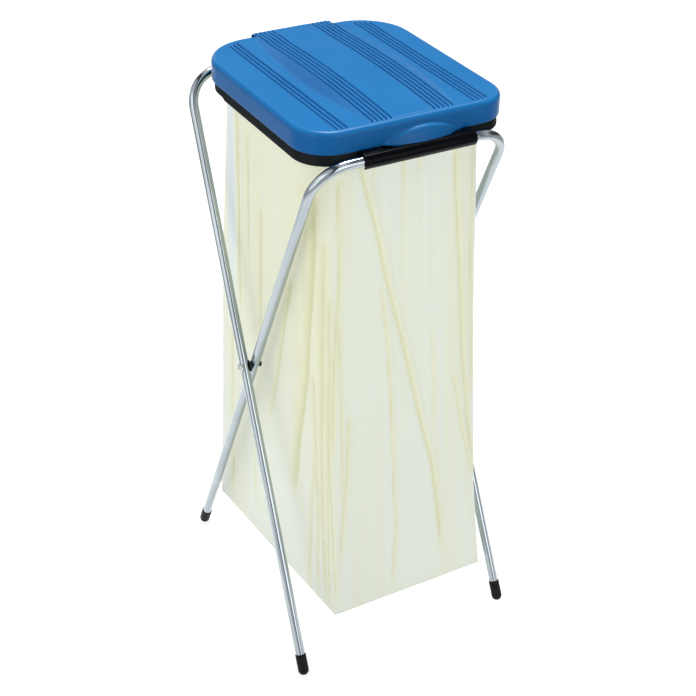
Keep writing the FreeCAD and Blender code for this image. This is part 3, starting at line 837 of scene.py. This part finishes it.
# creases of the front face, as (height, x) from the top down, then depth inwards and width in mm
FRONT_CREASES = (
    (((0.93, -0.076), (0.82, -0.047), (0.72, -0.026), (0.60, 0.005), (0.46, 0.036),
      (0.35, 0.065), (0.15, 0.092)), 3.0, 3.8),
    (((0.70, -0.034), (0.60, -0.023), (0.47, -0.016), (0.23, -0.005), (0.085, -0.012)), 2.0, 2.6),
    (((0.90, -0.111), (0.74, -0.110), (0.60, -0.121), (0.42, -0.126)), 2.4, 3.4),
    (((0.48, -0.096), (0.37, -0.100), (0.18, -0.118)), 1.8, 3.4),
    (((0.92, 0.094), (0.77, 0.105), (0.53, 0.123), (0.40, 0.138), (0.29, 0.160)), 2.2, 3.4),
    (((0.50, 0.106), (0.395, 0.125), (0.25, 0.164)), 1.6, 3.0),
    (((0.80, -0.134), (0.60, -0.138), (0.30, -0.142), (0.085, -0.136)), 2.0, 3.0),
    (((0.70, -0.126), (0.42, -0.132), (0.10, -0.124)), 1.8, 2.8),
    (((0.55, -0.143), (0.30, -0.150), (0.085, -0.146)), 1.6, 2.6),
    (((0.66, -0.112), (0.50, -0.108), (0.30, -0.110)), 1.3, 2.6),
    (((0.94, 0.132), (0.70, 0.134), (0.45, 0.146)), 1.6, 2.8),
    (((0.60, 0.060), (0.40, 0.068)), 0.9, 2.6),
    (((0.94, -0.050), (0.88, -0.052)), 1.4, 3.0),
    (((0.93, 0.000), (0.87, 0.004)), 1.3, 3.0),
    (((0.93, 0.030), (0.89, 0.030)), 1.3, 3.0),
)
# creases of the left face, as (height, y), and so on
LEFT_CREASES = (
    (((0.89, -0.146), (0.80, -0.150), (0.69, -0.146), (0.55, -0.131), (0.39, -0.095),
      (0.27, -0.080)), 3.4, 8.5),
    (((0.93, 0.100), (0.75, 0.100), (0.55, 0.104)), 2.2, 3.6),
    (((0.78, 0.017), (0.54, 0.030)), 1.6, 3.4),
    (((0.70, -0.084), (0.53, -0.039), (0.38, 0.006)), 2.2, 4.0),
    (((0.38, -0.150), (0.085, -0.118)), 1.8, 3.4),
    (((0.80, -0.166), (0.50, -0.172), (0.085, -0.176)), 2.0, 3.2),
    (((0.62, -0.180), (0.30, -0.186), (0.085, -0.190)), 1.8, 2.8),
    (((0.56, -0.154), (0.30, -0.160), (0.085, -0.150)), 1.8, 3.2),
    (((0.40, 0.060), (0.12, 0.070)), 1.2, 3.2),
    (((0.50, 0.140), (0.10, 0.160)), 1.2, 3.2),
    (((0.90, 0.060), (0.66, 0.066)), 1.4, 3.2),
)
RIGHT_CREASES = (
    (((0.92, -0.080), (0.70, -0.040), (0.45, 0.020), (0.20, 0.090)), 2.8, 4.5),
    (((0.90, 0.060), (0.60, 0.050), (0.30, 0.075)), 2.2, 3.6),
    (((0.60, -0.110), (0.25, -0.130)), 1.8, 3.4),
    (((0.92, 0.120), (0.62, 0.128)), 1.8, 3.4),
    (((0.44, -0.030), (0.09, -0.050)), 1.6, 3.2),
)
REAR_CREASES = (
    (((0.92, 0.070), (0.70, 0.040), (0.42, -0.020), (0.16, -0.070)), 2.8, 4.5),
    (((0.90, -0.050), (0.55, -0.066), (0.25, -0.100)), 2.2, 3.6),
    (((0.90, 0.110), (0.50, 0.124), (0.12, 0.140)), 2.0, 3.4),
    (((0.52, 0.040), (0.09, 0.054)), 1.8, 3.4),
)
AROUND = 384  # points round the sack and steps up it
TALL = 168
SMOOTH_ABOVE = 0.8  # sections above this height join smoothly, the others straight
# from one height to the other: where the film is held, where folds gather, where they start
HELD = (0.938, 0.955)
GATHERED = (0.45, 0.9)
SEAM = (0.08, 0.16)
CREASE_TAIL = 0.03  # creases fade out this far below and above their ends
CREASE_HEAD = 0.02
SLACK = 1.6  # mm, how far the film hangs inside its outline
WAVE_SIZE = 0.42
FILM_WALL = 0.4 * MM
BOTTOM_RISE = 0.6 * MM
BOTTOM_FOLD = 0.1
SINGLE_Y = 0.128  # middle and width of the single, bluer strip
SINGLE_WIDTH = 0.018


def sack_section(z):
    """Corner points and radii of the sack at height z."""
    for low, high in zip(SACK_SECTIONS, SACK_SECTIONS[1:]):
        if z <= high[0]:
            t = min(1.0, max(0.0, (z - low[0]) / (high[0] - low[0])))
            t = smoothstep(0.0, 1.0, t) if low[0] > SMOOTH_ABOVE else t
            pairs = zip(low[1:5], high[1:5])
            corners = [tuple(p + (q - p) * t for p, q in zip(a, b)) for a, b in pairs]
            return corners, [a + (b - a) * t for a, b in zip(low[5:], high[5:])]
    return list(SACK_SECTIONS[-1][1:5]), list(SACK_SECTIONS[-1][5:])


def sack_loop(z):
    """Points and outward normals round the sack at height z, always as many."""
    corners, (front_r, rear_r) = sack_section(z)
    radii = (front_r, front_r, rear_r, rear_r)
    corner_steps = AROUND // 24
    side_steps = AROUND // 4 - corner_steps
    loop = []
    for k, corner in enumerate(corners):
        before = np.subtract(corners[k - 1], corner)
        after = np.subtract(corners[(k + 1) % 4], corner)
        before = before / np.linalg.norm(before)
        after = after / np.linalg.norm(after)
        start = np.add(corner, before * radii[k])
        end = np.add(corner, after * radii[k])
        for i in range(corner_steps):
            t = i / corner_steps
            point = (1 - t) ** 2 * start + 2 * t * (1 - t) * np.array(corner) + t * t * end
            point = 0.85 * point + 0.15 * ((1 - t) * start + t * end)
            loop.append(point)
        nxt = corners[(k + 1) % 4]
        far = np.add(nxt, -after * radii[(k + 1) % 4])
        loop += [end + (far - end) * i / side_steps for i in range(side_steps)]
    loop = np.array(loop)
    tangent = np.roll(loop, -1, axis=0) - np.roll(loop, 1, axis=0)
    tangent /= np.linalg.norm(tangent, axis=1)[:, None]
    return loop, np.stack([tangent[:, 1], -tangent[:, 0]], axis=1)


def crease_dent(creases, along, z):
    """Inward depth in metres at points of one face, and how strongly each lies on a crease, where
    shade is painted.
    """
    dent = np.zeros_like(along)
    crease_shade = np.zeros_like(along)
    for path, depth, width in creases:
        heights = [p[0] for p in path][::-1]
        places = [p[1] for p in path][::-1]
        lowest, highest = heights[0], heights[-1]
        if not lowest - CREASE_TAIL < z < highest + CREASE_HEAD:
            continue
        fade = smoothstep(lowest - CREASE_TAIL, lowest + 2 * CREASE_TAIL, z)
        fade *= 1 - smoothstep(highest - CREASE_HEAD / 2, highest + CREASE_HEAD, z)
        middle = np.interp(z, heights, places) + 0.4 * MM * math.sin(z * 23 + places[0] * 300)
        away = (along - middle) / (width * MM)
        valley = np.exp(-away ** 2) - 0.55 * np.exp(-((away - 1.9) / 1.5) ** 2)
        dent += depth * MM * fade * valley
        # painted shade: a dark band along the crease
        band = np.where(away < 0, np.exp(-(away / 0.5) ** 2), np.exp(-away / 1.2))
        crease_shade += fade * band * (0.3 + 0.5 * depth / 3.4)
    return dent, np.minimum(crease_shade, 1.0)


def pleats(rng):
    """Soft random vertical folds: wave counts, sizes, phases and drifts with height."""
    counts = (5, 8, 11, 15, 21, 27, 34, 45, 58)
    waves = []
    for count in counts:
        phase = rng.uniform(0, 2 * math.pi)
        waves.append((count, 2.3 / count ** 0.45, phase, rng.uniform(-4.0, 4.0)))
    return waves


def fold_shade_marks(z, loop, normal, crease_shade, wave):
    """How folded the film looks at each point, with painted shade: 1 on a crease, below 0 where it
    is single.
    """
    leftward = -normal[:, 0]
    # painted shade: faces turned to the left are painted yellower and darker higher up
    side_shade = np.clip(0.35 * (leftward - 0.2), 0, 0.2) * smoothstep(0.2, 0.75, z)
    # pleat hollows, where the waves push the film in, are painted yellower too
    painted_yellow_shade = side_shade + 0.05 * np.clip(wave, 0, 2)
    strip = np.exp(-((loop[:, 1] - SINGLE_Y) / SINGLE_WIDTH) ** 2)
    single = np.clip(leftward, 0, 1) * strip * smoothstep(0.45, 0.75, z)
    return np.clip(crease_shade * 0.95 + painted_yellow_shade - 0.6 * single, -0.3, 1)


def sack():
    """The film sack: a thin shell with folds, hanging from the hoop to a flat bottom."""
    waves = pleats(np.random.default_rng(11))
    points = []
    folds = []
    turn = np.arange(AROUND) / AROUND * 2 * math.pi
    top = BAG_HIGH[2] - 0.5 * MM
    for k in range(TALL + 1):
        z = BAG_LOW[2] + (top - BAG_LOW[2]) * k / TALL
        loop, normal = sack_loop(z)
        free = 1 - smoothstep(*HELD, z)
        dent = np.zeros(AROUND)
        crease_shade = np.zeros(AROUND)
        sides = (
            (FRONT_CREASES, loop[:, 0], -normal[:, 1]),
            (LEFT_CREASES, loop[:, 1], -normal[:, 0]),
            (RIGHT_CREASES, loop[:, 1], normal[:, 0]),
            (REAR_CREASES, loop[:, 0], normal[:, 1]),
        )
        for creases, along, facing in sides:
            weight = np.clip((facing - 0.5) / 0.3, 0, 1)
            depth, mark = crease_dent(creases, along, z)
            dent += depth * weight
            crease_shade = np.maximum(crease_shade, mark * weight)
        wave = sum(
            size * np.sin(count * turn + phase + drift * z) for count, size, phase, drift in waves)
        gather = 0.35 + 0.65 * smoothstep(*GATHERED, z)
        hem = 0.25 + 0.75 * smoothstep(*SEAM, z)
        inward = free * (dent * hem + MM * (WAVE_SIZE * wave * gather * hem + SLACK))
        loop = loop - normal * inward[:, None]
        points += [(x, y, z) for x, y in loop]
        folds += list(fold_shade_marks(z, loop, normal, crease_shade, wave))
    faces = loft(TALL + 1, AROUND)
    add_sack_bottom(points, folds, faces)
    film = mesh_object("sack", points, faces, FILM)
    mark_points(film, "fold_shade", folds)
    solid = film.modifiers.new("film", "SOLIDIFY")
    solid.thickness = FILM_WALL
    solid.offset = -1
    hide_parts("bag")
    return film


def add_sack_bottom(points, folds, faces):
    """Closes the sack's lower end with loops that shrink to a point, slightly sagging."""
    rim = list(range(AROUND))
    low = np.array([points[i][:2] for i in rim])
    middle = low.mean(axis=0)
    loops = 14
    previous = rim
    for k in range(1, loops):
        t = k / loops
        sag = 1.5 * MM * math.sin(math.pi * t)
        ring = []
        for i in rim:
            x, y = low[i] * (1 - t) + middle * t
            ring.append(len(points))
            points.append((x, y, BAG_LOW[2] + BOTTOM_RISE - 0.4 * sag))
            folds.append(BOTTOM_FOLD)
        faces += bridge(previous, ring)
        previous = ring
    centre = len(points)
    points.append((middle[0], middle[1], BAG_LOW[2] + BOTTOM_RISE))
    folds.append(BOTTOM_FOLD)
    faces += [(previous[i], centre, previous[(i + 1) % AROUND]) for i in rim]


# ---------------------------------------------------------------- stage

# the part of the floor that the camera sees, anticlockwise from its near left corner
SWEEP = ((-1.05, -0.05), (-0.55, -0.55), (0.50, -0.85), (3.25, 2.25), (0.40, 3.95))
SWEEP_FADE = 0.9
FLOOR_Z = -0.0005
# x of a direction and how bright the surroundings are there
BANDS = (
    (-1.0, 0.15), (-0.8, 0.9), (-0.5, 0.95), (-0.38, 0.10), (-0.22, 0.06), (-0.12, 0.85),
    (0.2, 0.9), (0.34, 0.25), (0.62, 0.3), (0.75, 0.95), (0.9, 0.1),
)
CAMERA_PLACE = (-1.0289, -1.8306, 1.8450)
CAMERA_LENS = 73.8
CAMERA_YAW = -0.5141
CAMERA_PITCH = 0.5739  # downwards
CAMERA_ROLL = 0.0180


def floor_material():
    """Matt white studio floor, which glows brightly where its "glow" is 1."""
    s = Shader("studio_floor")
    greys = [(0.3, (0.27, 0.27, 0.27)), (0.7, (0.30, 0.30, 0.30))]
    s.plug(Base_Color=s.ramp(s.noise(1.5, 2.0), greys))
    glow = s.node("ShaderNodeAttribute", attribute_name="glow")
    s.plug(Emission_Strength=s.spread(glow.outputs["Fac"], 0.03, 0.82))
    s.put(Roughness=0.8, Specular_IOR_Level=0.0, Emission_Color=(1.0, 1.0, 1.0, 1.0))
    return s.material


def beyond_sweep(x, y):
    """Distance of a point outside the sweep, 0 inside it."""
    outside = 0.0
    for (x0, y0), (x1, y1) in zip(SWEEP, SWEEP[1:] + SWEEP[:1]):
        length = math.hypot(x1 - x0, y1 - y0)
        outside = max(outside, ((y1 - y0) * (x - x0) - (x1 - x0) * (y - y0)) / length)
    return outside


def floor():
    """A wide floor, brightest on the sweep and softly darker around it."""
    fine = [-5 + 0.125 * k for k in range(81)]
    coarse = [6.0, 8.0, 12.0, 20.0, 30.0]
    lines = [-c for c in reversed(coarse)] + fine + coarse
    count = len(lines)
    points = [(x, y, FLOOR_Z) for x in lines for y in lines]
    near = [i * count + k for i in range(count - 1) for k in range(count - 1)]
    cells = [(a, a + count, a + count + 1, a + 1) for a in near]
    piece = mesh_object("floor", points, cells, floor_material(), False)
    glow = [1 - smoothstep(0.0, SWEEP_FADE, beyond_sweep(x, y)) for x, y, _ in points]
    mark_points(piece, "glow", glow)


def surround():
    """A studio of bright and dark upright bands, which give the chrome its lines."""
    world = bpy.data.worlds.new("surround")
    bpy.context.scene.world = world
    world.use_nodes = True
    tree = world.node_tree
    place = tree.nodes.new("ShaderNodeTexCoord")
    split = tree.nodes.new("ShaderNodeSeparateXYZ")
    share = tree.nodes.new("ShaderNodeMapRange")
    share.inputs["From Min"].default_value = -1.0
    bands = tree.nodes.new("ShaderNodeValToRGB")
    stops = [((x + 1) / 2, (value, value, value * 1.03)) for x, value in BANDS]
    fill_ramp(bands.color_ramp.elements, stops)
    tree.links.new(place.outputs["Generated"], split.inputs["Vector"])
    tree.links.new(split.outputs["X"], share.inputs["Value"])
    tree.links.new(share.outputs["Result"], bands.inputs["Fac"])
    background = tree.nodes["Background"]
    tree.links.new(bands.outputs["Color"], background.inputs["Color"])
    background.inputs["Strength"].default_value = 0.85


def stage():
    """The studio: floor, surroundings and soft lights."""
    floor()
    surround()
    sun = bpy.data.lights.new("sun", "SUN")
    sun.energy = 3.8
    sun.angle = math.radians(25)
    lamp = bpy.data.objects.new("sun", sun)
    lamp.rotation_euler = Vector((-0.25, -0.30, -0.9)).to_track_quat("-Z", "Y").to_euler()
    bpy.context.scene.collection.objects.link(lamp)
    area_light("left", (-3.0, -0.6, 1.5), (0, 0, 0.6), 3.0, 32, (1.0, 1.0, 0.98))
    area_light("front", (0.6, -3.2, 1.4), (0, 0, 0.6), 2.4, 26, (1.0, 1.0, 0.99))


def area_light(name, place, target, size, power, colour):
    """A square soft light aimed at a point."""
    data = bpy.data.lights.new(name, "AREA")
    data.size = size
    data.energy = power
    data.color = colour
    lamp = bpy.data.objects.new(name, data)
    lamp.location = place
    aim = Vector(target) - Vector(place)
    lamp.rotation_euler = aim.to_track_quat("-Z", "Y").to_euler()
    bpy.context.scene.collection.objects.link(lamp)


def camera():
    """The camera, from the front left and above."""
    data = bpy.data.cameras.new("camera")
    data.sensor_width = 36
    data.lens = CAMERA_LENS
    cam = bpy.data.objects.new("camera", data)
    cam.location = CAMERA_PLACE
    yaw = Matrix.Rotation(CAMERA_YAW, 3, "Z")
    pitch = Matrix.Rotation(math.pi / 2 - CAMERA_PITCH, 3, "X")
    turn = yaw @ pitch @ Matrix.Rotation(CAMERA_ROLL, 3, "Z")
    cam.rotation_euler = turn.to_euler()
    bpy.context.scene.collection.objects.link(cam)
    bpy.context.scene.camera = cam


# ---------------------------------------------------------------- assembly

def dress(material, *names):
    """Gives CAD nodes their material."""
    for name in names:
        slots = nodes[name].data.materials
        slots.clear()
        slots.append(material)


camera()
stage()
sides = ("left", "right")
dress(CHROME, "outer_tube_frame", "inner_tube_frame")
dress(RUBBER, *["front_foot_cap_" + s for s in sides], *["rear_foot_cap_" + s for s in sides])
dress(ZINC, *["pivot_bolt_" + s for s in sides], *["pivot_head_washer_" + s for s in sides])
dress(ZINC, "front_clip_screws", "rear_saddle_screws")
dress(NYLON_BLACK, *["pivot_spacer_" + s for s in sides], *["pivot_cap_nut_" + s for s in sides])
dress(CLIP_BLACK, *["rear_saddle_" + s for s in sides])

for piece in (lid_body(), lid_underside(), lid_hood(), lid_hook()):
    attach(piece, "lid")
for piece in (bag_ring(), clamp_hoop()):
    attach(piece, "ring")
for piece in front_clip():
    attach(piece, "ring")
film = sack()
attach(film, "ring")
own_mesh(film)

bpy.context.scene.view_settings.view_transform = "Standard"
